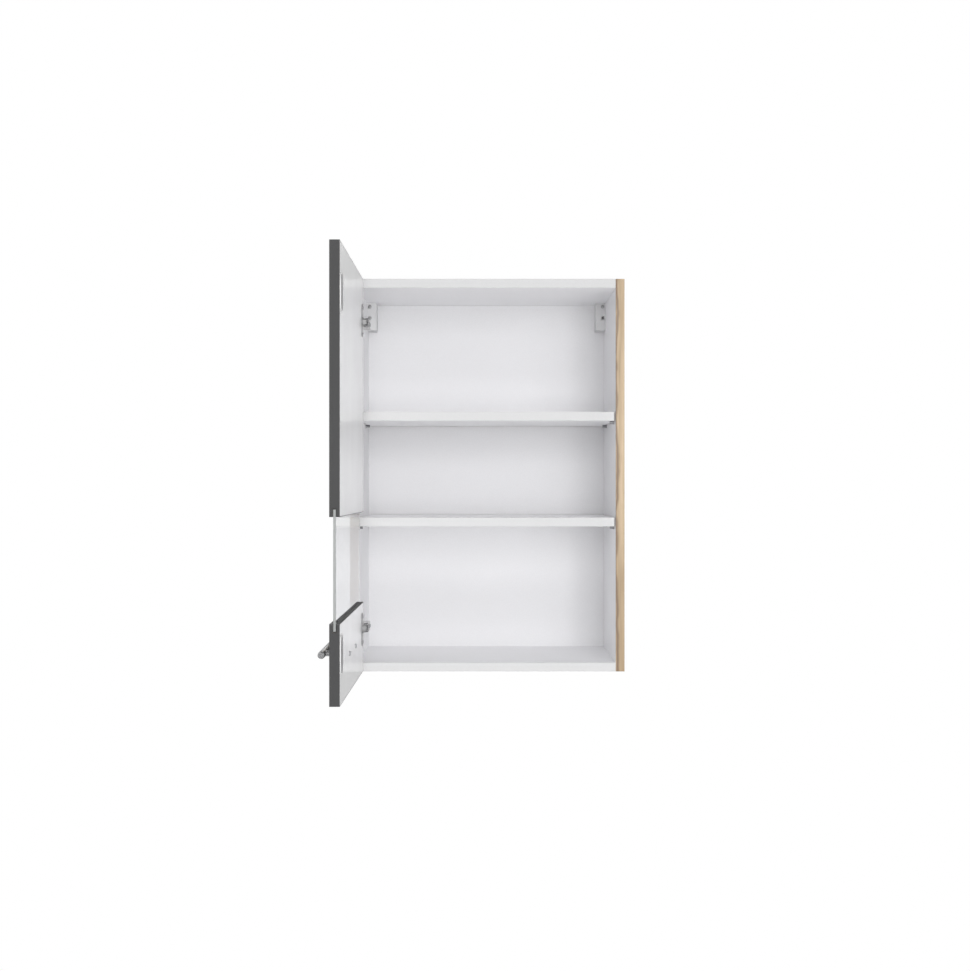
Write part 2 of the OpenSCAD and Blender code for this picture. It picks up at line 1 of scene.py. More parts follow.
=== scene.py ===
"""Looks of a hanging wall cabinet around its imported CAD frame. Metres, +Z up, wall plane y = 0."""

import json
import math

import bmesh
import bpy
from mathutils import Matrix, Vector

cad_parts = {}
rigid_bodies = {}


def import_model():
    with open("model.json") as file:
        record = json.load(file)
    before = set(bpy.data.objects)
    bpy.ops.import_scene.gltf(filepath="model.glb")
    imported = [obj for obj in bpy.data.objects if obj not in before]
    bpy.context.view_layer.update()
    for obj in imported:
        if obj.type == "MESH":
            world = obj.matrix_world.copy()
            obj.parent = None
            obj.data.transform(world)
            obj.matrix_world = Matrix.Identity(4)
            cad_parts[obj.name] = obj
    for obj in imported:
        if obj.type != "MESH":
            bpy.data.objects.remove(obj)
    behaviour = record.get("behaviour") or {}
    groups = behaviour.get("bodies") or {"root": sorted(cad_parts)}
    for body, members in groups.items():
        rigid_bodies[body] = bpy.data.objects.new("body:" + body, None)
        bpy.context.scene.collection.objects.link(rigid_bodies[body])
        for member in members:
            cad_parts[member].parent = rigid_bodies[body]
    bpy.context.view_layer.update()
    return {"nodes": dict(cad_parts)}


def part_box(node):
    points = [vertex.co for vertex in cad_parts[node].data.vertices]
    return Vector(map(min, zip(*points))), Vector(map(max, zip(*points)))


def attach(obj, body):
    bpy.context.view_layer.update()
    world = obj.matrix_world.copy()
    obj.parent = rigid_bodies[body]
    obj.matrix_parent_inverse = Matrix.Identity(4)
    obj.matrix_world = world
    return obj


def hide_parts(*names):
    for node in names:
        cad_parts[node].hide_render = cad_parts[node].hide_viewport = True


# Blender's own starting objects aren't part of the scene
for leftover in list(bpy.data.objects):
    bpy.data.objects.remove(leftover)
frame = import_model()
NODES = frame["nodes"]
MM = 0.001

FRONT_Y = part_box("side_edge_band_right")[0].y


# ---------------------------------------------------------------- camera

CAMERA_X = -2.35 * MM
CAMERA_BACK = 3058 * MM
CAMERA_Z = 336.3 * MM
LENS = 62.76
SENSOR = 36.0
SIGHT_LIMIT = 60
LEVEL = math.radians(90)


def add_camera():
    """A level camera that looks along +Y at the open cabinet."""
    data = bpy.data.cameras.new("camera")
    data.lens = LENS
    data.sensor_width = SENSOR
    data.sensor_fit = "HORIZONTAL"
    data.clip_end = SIGHT_LIMIT
    camera = bpy.data.objects.new("camera", data)
    camera.location = (CAMERA_X, FRONT_Y - CAMERA_BACK, CAMERA_Z)
    camera.rotation_euler = (LEVEL, 0, 0)
    bpy.context.scene.collection.objects.link(camera)
    bpy.context.scene.camera = camera


# ---------------------------------------------------------------- material helpers

# Between these values lie most of a noise texture's results
NOISE_LOW = 0.3
NOISE_HIGH = 0.7


def grey(tone, blue=0.0):
    """A grey with a little more blue."""
    return tone, tone, tone + blue


def scaled(colour, factor):
    return tuple(part * factor for part in colour)


def feed(tree, value, target):
    """Links an output to a node's socket, or sets the socket to a number or a colour."""
    if hasattr(value, "is_linked"):
        tree.links.new(value, target)
    elif target.type == "RGBA":
        target.default_value = (*value, 1)
    else:
        target.default_value = value


class Shader:
    """A material with one Principled shader and short calls for the nodes that feed it."""

    def __init__(self, name, **sockets):
        self.material = bpy.data.materials.new(name)
        self.material.use_nodes = True
        self.tree = self.material.node_tree
        self.principled = self.tree.nodes["Principled BSDF"]
        for key, value in sockets.items():
            self.principled.inputs[key.replace("_", " ")].default_value = value
        self.object_coords = self.tree.nodes.new("ShaderNodeTexCoord").outputs["Object"]

    def link(self, output, socket):
        self.tree.links.new(output, self.principled.inputs[socket])

    def mapping(self, scale=(1, 1, 1), rotation=(0, 0, 0), location=(0, 0, 0)):
        """The point on the object, stretched, turned and shifted."""
        node = self.tree.nodes.new("ShaderNodeMapping")
        node.inputs["Scale"].default_value = scale
        node.inputs["Rotation"].default_value = rotation
        node.inputs["Location"].default_value = location
        self.tree.links.new(self.object_coords, node.inputs["Vector"])
        return node.outputs["Vector"]

    def axis(self, name):
        """One coordinate of the point on the object."""
        node = self.tree.nodes.new("ShaderNodeSeparateXYZ")
        self.tree.links.new(self.object_coords, node.inputs["Vector"])
        return node.outputs[name]

    def noise(self, vector, scale, detail=3.0, roughness=0.5, distortion=0.0):
        """Noise with this many features to a metre."""
        node = self.tree.nodes.new("ShaderNodeTexNoise")
        node.inputs["Scale"].default_value = scale
        node.inputs["Detail"].default_value = detail
        node.inputs["Roughness"].default_value = roughness
        node.inputs["Distortion"].default_value = distortion
        self.tree.links.new(vector, node.inputs["Vector"])
        return node.outputs["Fac"]

    def cells(self, vector, scale):
        """Cells, this many to a metre, each with a random colour."""
        node = self.tree.nodes.new("ShaderNodeTexVoronoi")
        node.inputs["Scale"].default_value = scale
        self.tree.links.new(vector, node.inputs["Vector"])
        return node.outputs["Color"]

    def ramp(self, factor, stops):
        node = self.tree.nodes.new("ShaderNodeValToRGB")
        elements = node.color_ramp.elements
        while len(elements) < len(stops):
            elements.new(0.5)
        for element, (position, colour) in zip(elements, stops):
            element.position = position
            element.color = (*colour, 1)
        self.tree.links.new(factor, node.inputs["Fac"])
        return node.outputs["Color"]

    def tones(self, noise, dark, light, low=NOISE_LOW, high=NOISE_HIGH):
        """Colours from dark to light, by a noise."""
        return self.ramp(noise, [(low, dark), (high, light)])

    def range(self, factor, at_low, at_high, low=NOISE_LOW, high=NOISE_HIGH):
        """A number that goes from at_low to at_high while the factor goes from low to high."""
        node = self.tree.nodes.new("ShaderNodeMapRange")
        node.inputs["From Min"].default_value = low
        node.inputs["From Max"].default_value = high
        node.inputs["To Min"].default_value = at_low
        node.inputs["To Max"].default_value = at_high
        self.tree.links.new(factor, node.inputs["Value"])
        return node.outputs["Result"]

    def math(self, operation, first, second=0.0):
        node = self.tree.nodes.new("ShaderNodeMath")
        node.operation = operation
        feed(self.tree, first, node.inputs[0])
        feed(self.tree, second, node.inputs[1])
        return node.outputs[0]

    def mix(self, factor, first, second, blend="MIX"):
        node = self.tree.nodes.new("ShaderNodeMix")
        node.data_type = "RGBA"
        node.blend_type = blend
        sockets = [("Factor", "VALUE", factor), ("A", "RGBA", first), ("B", "RGBA", second)]
        for name, kind, value in sockets:
            target = next(i for i in node.inputs if i.name == name and i.type == kind)
            feed(self.tree, value, target)
        return next(o for o in node.outputs if o.type == "RGBA")

    def multiply(self, first, second):
        return self.mix(1.0, first, second, "MULTIPLY")

    def cover(self, under, over, mask, strength):
        """One colour over another, as strongly as the mask says."""
        return self.mix(self.math("MULTIPLY", mask, strength), under, over)

    def bump(self, height, strength, depth):
        node = self.tree.nodes.new("ShaderNodeBump")
        node.inputs["Strength"].default_value = strength
        node.inputs["Distance"].default_value = depth
        self.tree.links.new(height, node.inputs["Height"])
        self.link(node.outputs["Normal"], "Normal")


# ---------------------------------------------------------------- materials


def melamine(name, light, dark, roughness, pearl=0.12, gloss_change=0.15):
    """Paper-faced board: nearly even colour, a fine pearl texture and slow gloss changes."""
    s = Shader(name)
    plain = s.mapping()
    cloud = s.noise(plain, scale=9)
    fine = s.noise(plain, scale=900, detail=2, roughness=0.6)
    tint = s.tones(cloud, dark, light, low=0.35, high=0.65)
    grain = s.tones(fine, grey(0.94), grey(1))
    s.link(s.multiply(tint, grain), "Base Color")
    change = roughness * gloss_change
    s.link(s.range(cloud, roughness - change, roughness + change), "Roughness")
    s.bump(fine, strength=pearl, depth=0.08 * MM)
    return s.material


def painted_shade_line(s, colour, line, painted_shade_x):
    """A dark line along Z, painted shade at the inner corner of an edge band, which sways a few millimetres
    to both sides of the given x.
    """
    sway = s.noise(s.mapping((1, 1, 0.6)), scale=14, roughness=0.6)
    across = s.math("ADD", s.axis("X"), s.range(sway, -4 * MM, 4 * MM))
    distance = s.math("ABSOLUTE", s.math("SUBTRACT", across, painted_shade_x))
    near = s.range(distance, 1, 0, low=0.9 * MM, high=4 * MM)
    return s.cover(colour, line, near, strength=0.8)


def oak(name, light, mid, dark, line, painted_shade_x=None):
    """Oak-look decor with its grain along Z: slow figure, fine streaks, pores and dark veins."""
    s = Shader(name)
    figure = s.noise(s.mapping((1, 1, 0.055)), scale=34, detail=5, roughness=0.55, distortion=0.9)
    streak = s.noise(s.mapping((1, 1, 0.02)), scale=210, detail=4, roughness=0.6, distortion=0.3)
    pores = s.noise(s.mapping((1, 1, 0.035), location=(0.4, 0.1, 0.7)), scale=900, detail=2)
    veins = s.noise(s.mapping((1, 1, 0.03), location=(0.13, 0.6, 0.2)), scale=60, distortion=1.4)
    pore_mask = s.range(pores, 1, 0, low=0.30, high=0.42)
    vein_mask = s.range(veins, 1, 0, low=0.30, high=0.345)

    base = s.ramp(figure, [(0.28, dark), (0.48, mid), (0.72, light)])
    fine = s.tones(streak, (0.80, 0.78, 0.74), grey(1), high=0.62)
    colour = s.multiply(base, fine)
    colour = s.cover(colour, dark, pore_mask, strength=0.35)
    colour = s.cover(colour, line, vein_mask, strength=0.75)
    # An optional dark line at the given x is painted shade at the band's inner corner, not grain.
    if painted_shade_x is not None:
        colour = painted_shade_line(s, colour, line, painted_shade_x)
    s.link(colour, "Base Color")
    s.link(s.range(streak, 0.52, 0.36), "Roughness")
    height = s.math("SUBTRACT", streak, s.math("MULTIPLY", pore_mask, 0.6))
    s.bump(height, strength=0.25, depth=0.1 * MM)
    return s.material


def chipboard():
    """Raw edge of particle board: pressed chips of many tans, coarse in the middle."""
    s = Shader("raw_chipboard", Roughness=0.9)
    chips = s.cells(s.mapping((1, 1, 1.6)), scale=420)
    small = s.cells(s.mapping((1, 1, 1.3), location=(0.3, 0.2, 0.1)), scale=1100)
    brown, tan, straw = (0.33, 0.21, 0.11), (0.52, 0.37, 0.21), (0.66, 0.51, 0.32)
    tone = s.ramp(chips, [(0.1, brown), (0.5, tan), (0.9, straw)])
    tint = s.tones(small, (0.72, 0.68, 0.62), grey(1), low=0.2, high=0.8)
    s.link(s.multiply(tone, tint), "Base Color")
    s.bump(chips, strength=0.6, depth=0.3 * MM)
    return s.material


def hardboard():
    """Brown smooth-pressed fibreboard with fine fibres."""
    s = Shader("brown_hardboard", Roughness=0.7)
    cloud = s.noise(s.mapping(), scale=14, detail=4)
    lay = s.mapping((1, 1, 0.35), rotation=(0.3, 0.2, 0.5))
    fibre = s.noise(lay, scale=700, detail=4, roughness=0.7, distortion=2.0)
    tone = s.tones(cloud, (0.17, 0.092, 0.045), (0.24, 0.14, 0.072))
    tint = s.tones(fibre, (0.6, 0.58, 0.55), (1.1, 1.08, 1.05))
    s.link(s.multiply(tone, tint), "Base Color")
    s.bump(fibre, strength=0.35, depth=0.15 * MM)
    return s.material


def anthracite(name, tone, roughness):
    """Dark grey lacquer-look foil with a fine leathery grain."""
    s = Shader(name)
    fine = s.noise(s.mapping(), scale=1100, roughness=0.6)
    cloud = s.noise(s.mapping(), scale=11)
    colour = s.tones(cloud, scaled(tone, 0.93), scaled(tone, 1.07))
    tint = s.tones(fine, grey(0.86), grey(1.08))
    s.link(s.multiply(colour, tint), "Base Color")
    s.link(s.range(fine, roughness * 0.85, roughness * 1.2), "Roughness")
    s.bump(fine, strength=0.25, depth=0.1 * MM)
    return s.material


def clear_glass():
    """Clear float glass with a very slow waviness."""
    s = Shader("clear_glass", Transmission_Weight=1.0, IOR=1.5, Roughness=0.0)
    wave = s.noise(s.mapping(), scale=6, detail=1)
    s.link(s.tones(wave, (0.98, 0.995, 0.99), (0.9898, 1, 0.9999)), "Base Color")
    s.bump(wave, strength=0.02, depth=0.2 * MM)
    return s.material


def ground_glass():
    """The ground and seamed edge of float glass: a milky green-grey."""
    s = Shader("glass_ground_edge", Transmission_Weight=0.25, IOR=1.5, Roughness=0.35)
    grind = s.noise(s.mapping((1, 1, 0.05)), scale=1500, roughness=0.6)
    s.link(s.tones(grind, (0.37, 0.385, 0.38), (0.46, 0.475, 0.47)), "Base Color")
    s.bump(grind, strength=0.2, depth=0.05 * MM)
    return s.material


def rubber(name, tone):
    """Dull black profile rubber."""
    s = Shader(name)
    fine = s.noise(s.mapping(), scale=1500, detail=2)
    s.link(s.tones(fine, tone, scaled(tone, 1.5)), "Base Color")
    s.link(s.range(fine, 0.55, 0.75, low=0.0, high=1.0), "Roughness")
    s.bump(fine, strength=0.2, depth=0.08 * MM)
    return s.material


# How the marks of a metal are stretched: along one axis, or as even grains
BRUSHED_Y = (1, 0.03, 1)
GRAINY = (1, 1, 1)


def metal(name, tone, roughness, marks=BRUSHED_Y, marks_scale=1600, anisotropic=0.0):
    """Metal with fine brush marks or grains and slow stains."""
    s = Shader(name, Metallic=1.0, Anisotropic=anisotropic)
    fine = s.noise(s.mapping(marks), scale=marks_scale, roughness=0.6)
    stain = s.noise(s.mapping(), scale=60)
    colour = s.tones(fine, scaled(tone, 0.84), scaled(tone, 1.08))
    dull = s.tones(stain, grey(0.9), grey(1))
    s.link(s.multiply(colour, dull), "Base Color")
    s.link(s.range(fine, roughness * 0.8, roughness * 1.25), "Roughness")
    s.bump(fine, strength=0.12, depth=0.04 * MM)
    return s.material


def moulded_plastic(name, tone, roughness):
    """Injection-moulded plastic with a fine spark-eroded grain."""
    s = Shader(name)
    grain = s.noise(s.mapping(), scale=1300, detail=2, roughness=0.6)
    flow = s.noise(s.mapping(), scale=40, detail=2)
    s.link(s.tones(flow, scaled(tone, 0.96), tone), "Base Color")
    s.link(s.range(grain, roughness * 0.85, roughness * 1.2), "Roughness")
    s.bump(grain, strength=0.3, depth=0.06 * MM)
    return s.material


def beech():
    """Turned beech with its fibres along X."""
    s = Shader("beech_dowel", Roughness=0.6)
    fibre = s.noise(s.mapping((0.06, 1, 1)), scale=700, roughness=0.6)
    s.link(s.tones(fibre, (0.50, 0.33, 0.18), (0.66, 0.47, 0.28)), "Base Color")
    s.bump(fibre, strength=0.3, depth=0.1 * MM)
    return s.material


WHITE = melamine("white_melamine", (0.955, 0.953, 0.968), (0.94, 0.938, 0.953), 0.42)
WHITE_EDGE = melamine("white_edge_band", grey(0.655, 0.005), grey(0.64, 0.005), 0.6, pearl=0.06)
BACK_WHITE = melamine("white_back_foil", (0.875, 0.873, 0.887), (0.86, 0.858, 0.872), 0.5)
DOOR_INSIDE = melamine(
    "white_door_lining", grey(0.80, 0.005), grey(0.79, 0.005), 0.16, pearl=0.01, gloss_change=0.04
)
OAK = oak("oak_decor", (0.70, 0.575, 0.415), (0.60, 0.47, 0.315), (0.45, 0.335, 0.21), (0.16, 0.09, 0.045))
# The dark line at x = 235.5 mm, by the inner corner of the right side's oak edge, is painted shade.
OAK_EDGE = oak(
    "oak_edge_band", (0.63, 0.49, 0.33), (0.51, 0.38, 0.235), (0.35, 0.245, 0.14), (0.13, 0.07, 0.035),
    painted_shade_x=235.5 * MM,
)
CHIPBOARD = chipboard()
HARDBOARD = hardboard()
ANTHRACITE = anthracite("anthracite_foil", grey(0.060, 0.002), 0.42)
ANTHRACITE_EDGE = anthracite("anthracite_edge_band", grey(0.037, 0.001), 0.6)
GLASS = clear_glass()
GLASS_EDGE = ground_glass()
SEAL = rubber("seal_rubber", grey(0.035))
NICKEL = metal("nickel_plated_steel", (0.60, 0.59, 0.58), 0.30)
# The links' nickel is a darker copy of the plated steel: painted shade that stands in for the dark
# surroundings the plating mirrors.
NICKEL_LINK_PAINTED_SHADE = metal("nickel_link_painted_shade", grey(0.20, 0.002), 0.45)
# The hinge's edge and end faces get a far darker steel than its plated faces: painted shade, not a colour
# of cut steel.
EDGE_STEEL_PAINTED_SHADE = metal("steel_edge_painted_shade", grey(0.17, 0.005), 0.5, GRAINY, 900)
PIN_STEEL = metal("hinge_pin_steel", grey(0.55, 0.01), 0.2, (1, 1, 0.05))
SCREW_STEEL = metal("zinc_plated_screw", grey(0.36, 0.01), 0.42, GRAINY, 900)
ADJUST_STEEL = metal("adjusting_screw_steel", grey(0.58, 0.005), 0.55, GRAINY, 900)
SHELF_PIN_STEEL = metal("shelf_pin_steel", grey(0.26, 0.01), 0.35, (0.05, 1, 1))
ZINC = metal("die_cast_zinc", grey(0.5, 0.01), 0.42, GRAINY, 500)
HANDLE = metal("brushed_handle_metal", grey(0.27, 0.005), 0.3, (1, 0.02, 1), 2400, anisotropic=0.5)
CAP_RIM = moulded_plastic("cover_cap_rim", grey(0.62), 0.45)
# The dish's dark grey is painted shade in the cap's recess, not a colour of the plastic.
CAP_DISH_PAINTED_SHADE = moulded_plastic("cover_cap_dish_painted_shade", grey(0.24, 0.005), 0.6)
WHITE_PLASTIC = moulded_plastic("white_hanger_plastic", grey(0.72, 0.005), 0.5)
BEECH = beech()


# ---------------------------------------------------------------- CAD nodes

SIDES = {
    "plus_x": Vector((1, 0, 0)), "minus_x": Vector((-1, 0, 0)),
    "plus_y": Vector((0, 1, 0)), "minus_y": Vector((0, -1, 0)),
    "plus_z": Vector((0, 0, 1)), "minus_z": Vector((0, 0, -1)),
}
# A face looks towards a side from this cosine of the angle between them
FACING = 0.95


def paint(node, material, **sides):
    """Gives a CAD node its material, with other materials on the faces towards named sides."""
    mesh = NODES[node].data
    mesh.materials.clear()
    mesh.materials.append(material)
    for side, other in sides.items():
        mesh.materials.append(other)
        index = len(mesh.materials) - 1
        for polygon in mesh.polygons:
            if polygon.normal.dot(SIDES[side]) > FACING:
                polygon.material_index = index


def paint_carcass():
    paint("side_panel_left", CHIPBOARD, minus_x=OAK, plus_x=WHITE, minus_z=OAK_EDGE)
    paint("side_panel_right", CHIPBOARD, plus_x=OAK, minus_x=WHITE, minus_z=OAK_EDGE)
    for node in ("top_panel", "bottom_panel", "shelf_upper", "shelf_lower"):
        paint(node, CHIPBOARD, plus_z=WHITE, minus_z=WHITE)
    paint("back_panel", HARDBOARD, minus_y=BACK_WHITE)
    for side in ("left", "right"):
        paint(f"side_edge_band_{side}", OAK_EDGE)
        paint(f"hanger_hook_{side}", ZINC)
        paint(f"hanger_body_{side}", WHITE_PLASTIC)
    for board in ("top", "bottom", "shelf_upper", "shelf_lower"):
        paint(f"{board}_edge_band", WHITE_EDGE)
    for shelf in ("upper", "lower"):
        paint(f"shelf_pins_{shelf}", SHELF_PIN_STEEL)
    paint("cam_locks", ZINC)
    paint("cam_bolts", ZINC)
    paint("wood_dowels", BEECH)
    paint("cam_caps", WHITE_PLASTIC)
    for screws in ("hanger_height", "hanger_depth", "hanger_fixing", "hinge_plate", "hinge_arm"):
        paint(f"{screws}_screws", SCREW_STEEL)


def paint_door():
    for panel in ("upper", "lower"):
        paint(f"door_panel_{panel}", CHIPBOARD, minus_x=ANTHRACITE, plus_x=DOOR_INSIDE)
        paint(f"door_edge_band_{panel}", ANTHRACITE_EDGE)
        paint(f"glass_seal_{panel}", SEAL)
        paint(f"cover_cap_{panel}", CAP_RIM)
    paint("door_glass", GLASS, minus_y=GLASS_EDGE, plus_y=GLASS_EDGE)
    paint("handle_bar", HANDLE)
    paint("handle_posts", HANDLE)
    paint("handle_screws", SCREW_STEEL)
    paint("hinge_cup_screws", SCREW_STEEL)
    paint("hinge_cup_pins", PIN_STEEL)


def paint_hinges():
    for hinge in ("upper", "lower"):
        paint(f"hinge_plate_{hinge}", ZINC)
        # On arm and cup the faces off the named sides take the darkened edge steel, painted shade.
        paint(f"hinge_arm_{hinge}", EDGE_STEEL_PAINTED_SHADE, plus_x=NICKEL, plus_z=NICKEL, minus_z=NICKEL)
        paint(f"hinge_cup_{hinge}", EDGE_STEEL_PAINTED_SHADE, plus_x=NICKEL)
        # The links take the darkened nickel, painted shade.
        paint(f"hinge_{hinge}_inner_link", NICKEL_LINK_PAINTED_SHADE)
        paint(f"hinge_{hinge}_outer_link", NICKEL_LINK_PAINTED_SHADE)
    paint("hinge_arm_pins", PIN_STEEL)


# The edge rounding of a node is the smallest one of the words in its name
BEVELS_MM = {
    "panel": 0.25, "shelf": 0.25, "edge_band": 0.3, "pins": 0.3, "screws": 0.25, "body": 0.8, "hook": 0.3,
    "plate": 0.5, "arm": 0.5, "link": 0.3, "cup": 0.25, "cap": 0.5, "glass": 0.4, "posts": 0.3, "bar": 0.35,
}
WELD_GAP = 0.002 * MM
SAME_PLANE = math.radians(0.5)
EDGE_ANGLE = math.radians(40)


def soften_edges():
    """Small rounded edges on each CAD node whose name holds a word of BEVELS_MM, by modifiers that leave
    its mesh as it is.
    """
    for name, node in NODES.items():
        sizes = [size for word, size in BEVELS_MM.items() if word in name]
        if not sizes:
            continue
        weld = node.modifiers.new("weld", "WELD")
        weld.merge_threshold = WELD_GAP
        flat = node.modifiers.new("flat", "DECIMATE")
        flat.decimate_type = "DISSOLVE"
        flat.angle_limit = SAME_PLANE
        flat.delimit = {"MATERIAL"}
        bevel = node.modifiers.new("bevel", "BEVEL")
        bevel.width = min(sizes) * MM
        bevel.segments = 2
        bevel.limit_method = "ANGLE"
        bevel.angle_limit = EDGE_ANGLE
        even = node.modifiers.new("even", "WEIGHTED_NORMAL")
        even.keep_sharp = True


# ---------------------------------------------------------------- mesh helpers

SMOOTH_ANGLE = math.radians(35)


def points_box(points):
    low = Vector(min(p[i] for p in points) for i in range(3))
    high = Vector(max(p[i] for p in points) for i in range(3))
    return low, high


def islands(node):
    """The separate solids of a CAD node, each as its list of points, ordered by place."""
    mesh = bmesh.new()
    mesh.from_mesh(NODES[node].data)
    bmesh.ops.remove_doubles(mesh, verts=mesh.verts, dist=WELD_GAP)
    left = set(mesh.verts)
    found = []
    while left:
        group, edge = set(), [left.pop()]
        while edge:
            vert = edge.pop()
            group.add(vert)
            for link in vert.link_edges:
                other = link.other_vert(vert)
                if other in left:
                    left.remove(other)
                    edge.append(other)
        found.append([v.co.copy() for v in group])
    mesh.free()
    return sorted(found, key=lambda points: tuple(round(c, 4) for c in points_box(points)[0]))


def join_rings(mesh, lower, upper, material_index=0):
    """Faces between two rings of points, either of which may be a single point."""
    count = max(len(lower), len(upper))
    for i in range(count):
        j = (i + 1) % count
        corners = [lower[i % len(lower)], lower[j % len(lower)]]
        corners += [upper[j % len(upper)], upper[i % len(upper)]]
        unique = list(dict.fromkeys(corners))
        if len(unique) > 2:
            mesh.faces.new(unique).material_index = material_index


def lathe(mesh, profile, segments, place):
    """Turns a closed profile of (radius, height) pairs, which starts and ends at radius 0."""
    turn = [2 * math.pi * i / segments for i in range(segments)]
    rings = []
    for radius, height in profile:
        ring = [Vector((radius * math.cos(a), radius * math.sin(a), height)) for a in turn]
        if radius == 0:
            ring = [Vector((0, 0, height))]
        rings.append([mesh.verts.new(place @ point) for point in ring])
    for lower, upper in zip(rings, rings[1:]):
        join_rings(mesh, lower, upper)


def new_piece(name, mesh, materials, body, node):
    """Makes a piece of this mesh that stands for a CAD node and rides on its body."""
    bmesh.ops.recalc_face_normals(mesh, faces=mesh.faces)
    data = bpy.data.meshes.new(name)
    mesh.to_mesh(data)
    mesh.free()
    for polygon in data.polygons:
        polygon.use_smooth = True
    data.set_sharp_from_angle(angle=SMOOTH_ANGLE)
    for material in materials:
        data.materials.append(material)
    piece = bpy.data.objects.new(name, data)
    bpy.context.scene.collection.objects.link(piece)
    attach(piece, body)
    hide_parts(node)


def cut_away(mesh, cutter):
    """The mesh with the cutter's space taken out of it, cut in millimetres to keep it exact."""
    objects = []
    for name, part in (("cut_body", mesh), ("cutter", cutter)):
        bmesh.ops.scale(part, vec=(1 / MM,) * 3, verts=part.verts)
        bmesh.ops.recalc_face_normals(part, faces=part.faces)
        data = bpy.data.meshes.new(name)
        part.to_mesh(data)
        part.free()
        objects.append(bpy.data.objects.new(name, data))
        bpy.context.scene.collection.objects.link(objects[-1])
    body, tool = objects
    modifier = body.modifiers.new("cut", "BOOLEAN")
    modifier.operation = "DIFFERENCE"
    modifier.solver = "EXACT"
    modifier.object = tool
    depsgraph = bpy.context.evaluated_depsgraph_get()
    result = bmesh.new()
    result.from_mesh(body.evaluated_get(depsgraph).to_mesh())
    for one in objects:
        bpy.data.objects.remove(one)
    bmesh.ops.scale(result, vec=(MM,) * 3, verts=result.verts)
    return result


# ---------------------------------------------------------------- screws

SCREW_SEGMENTS = 32
PITCH = 1.4 * MM
THREAD_ROOT = 0.74
THREAD_START = 1.0 * MM
# Each next screw of a node is turned this much further, in radians
SCREW_TURN = 0.35
RECESS_DEPTH = 1.3 * MM
# Half the length and half the width of a recess slot, as shares of the head's radius
SLOT_REACH = 0.58
SLOT_WIDTH = 0.13


def screw_profile(head_r, head_h, shaft_r, length, pointed):
    """Domed head from height 0 up, threaded shaft below it."""
    profile = [(0, head_h), (head_r * 0.45, head_h), (head_r * 0.72, head_h * 0.93)]
    profile += [(head_r * 0.9, head_h * 0.72), (head_r, head_h * 0.35), (head_r, 0), (shaft_r * 0.86, 0)]
    root_r = shaft_r * THREAD_ROOT
    end = length - (2.2 * shaft_r if pointed else 0.4 * MM)
    depth = THREAD_START
    while depth + PITCH < end:
        profile += [(root_r, -depth), (shaft_r, -depth - PITCH * 0.4)]
        profile += [(shaft_r, -depth - PITCH * 0.5), (root_r, -depth - PITCH * 0.9)]
        depth += PITCH
    profile += [(root_r, -end)]
    if not pointed:
        profile += [(shaft_r * 0.6, -length)]
    return profile + [(0, -length)]


def plain_screw(points, axis):
    """Reads a plain CAD screw along an axis: its seat, direction, head and shaft sizes and length."""
    low, high = points_box(points)
    middle = (low + high) / 2
    across = [i for i in range(3) if i != axis]
    centre = [middle[i] for i in across]
    radii = [math.dist([p[i] for i in across], centre) for p in points]
    head_r = max(radii)
    head = [p[axis] for p, r in zip(points, radii) if r > 0.95 * head_r]
    tiny = 1e-6
    shaft_r = max(r for p, r in zip(points, radii) if not min(head) - tiny < p[axis] < max(head) + tiny)
    forward = 1 if middle[axis] < sum(head) / len(head) else -1
    middle[axis] = min(head) if forward > 0 else max(head)
    tip = low[axis] if forward > 0 else high[axis]
    direction = Vector((0, 0, 0))
    direction[axis] = forward
    return middle, direction, head_r, max(head) - min(head), shaft_r, abs(tip - middle[axis])


def slot_cutter(places, turn, head_r, head_h):
    """Tapered slots, one across each screw head; two of them make a cross recess."""
    mesh = bmesh.new()
    reach, width = head_r * SLOT_REACH, head_r * SLOT_WIDTH
    top = head_h + 0.2 * MM
    bottom = head_h - min(RECESS_DEPTH, head_h * 0.8)
    spin = Matrix.Rotation(turn, 4, "Z")
    for place in places:
        rings = []
        for z, share in ((bottom, 0.55), (top, 1.0)):
            x, y = reach * share, width * (0.7 + 0.3 * share)
            corners = [(-x, -y, z), (x, -y, z), (x, y, z), (-x, y, z)]
            rings.append([mesh.verts.new(place @ (spin @ Vector(corner))) for corner in corners])
            mesh.faces.new(rings[-1])
        join_rings(mesh, *rings)
    return mesh


def add_screws(node, body, axis, pointed=True, material=SCREW_STEEL):
    """Cross-recess screws in the places of a CAD node of plain ones, which lie along one axis."""
    mesh = bmesh.new()
    places = []
    for points in islands(node):
        seat, direction, head_r, head_h, shaft_r, length = plain_screw(points, axis)
        aim = direction.to_track_quat("Z", "Y").to_matrix().to_4x4()
        spin = Matrix.Rotation(SCREW_TURN * len(places), 4, "Z")
        places.append(Matrix.Translation(seat) @ aim @ spin)
        lathe(mesh, screw_profile(head_r, head_h, shaft_r, length, pointed), SCREW_SEGMENTS, places[-1])
    for turn in (0, math.radians(90)):
        mesh = cut_away(mesh, slot_cutter(places, turn, head_r, head_h))
    new_piece(f"{node}_detailed", mesh, [material], body, node)


# ---------------------------------------------------------------- cover caps

CAP_PLATE = 1.6 * MM
CAP_PLUG_R = (15.5 * MM, 17.4 * MM)
CAP_SEGMENTS = 64
# Inset from the outline and height over the door face, in mm: the wall up to its rounded edge, then
# the flat lip and the dish
CAP_WALL = [(0, 0), (0, 1.1), (0.15, 1.45), (0.5, 1.6)]
CAP_LIP_AND_DISH = [(1.5, 1.6), (1.9, 1.45), (2.6, 0.8), (9.0, 0.7)]


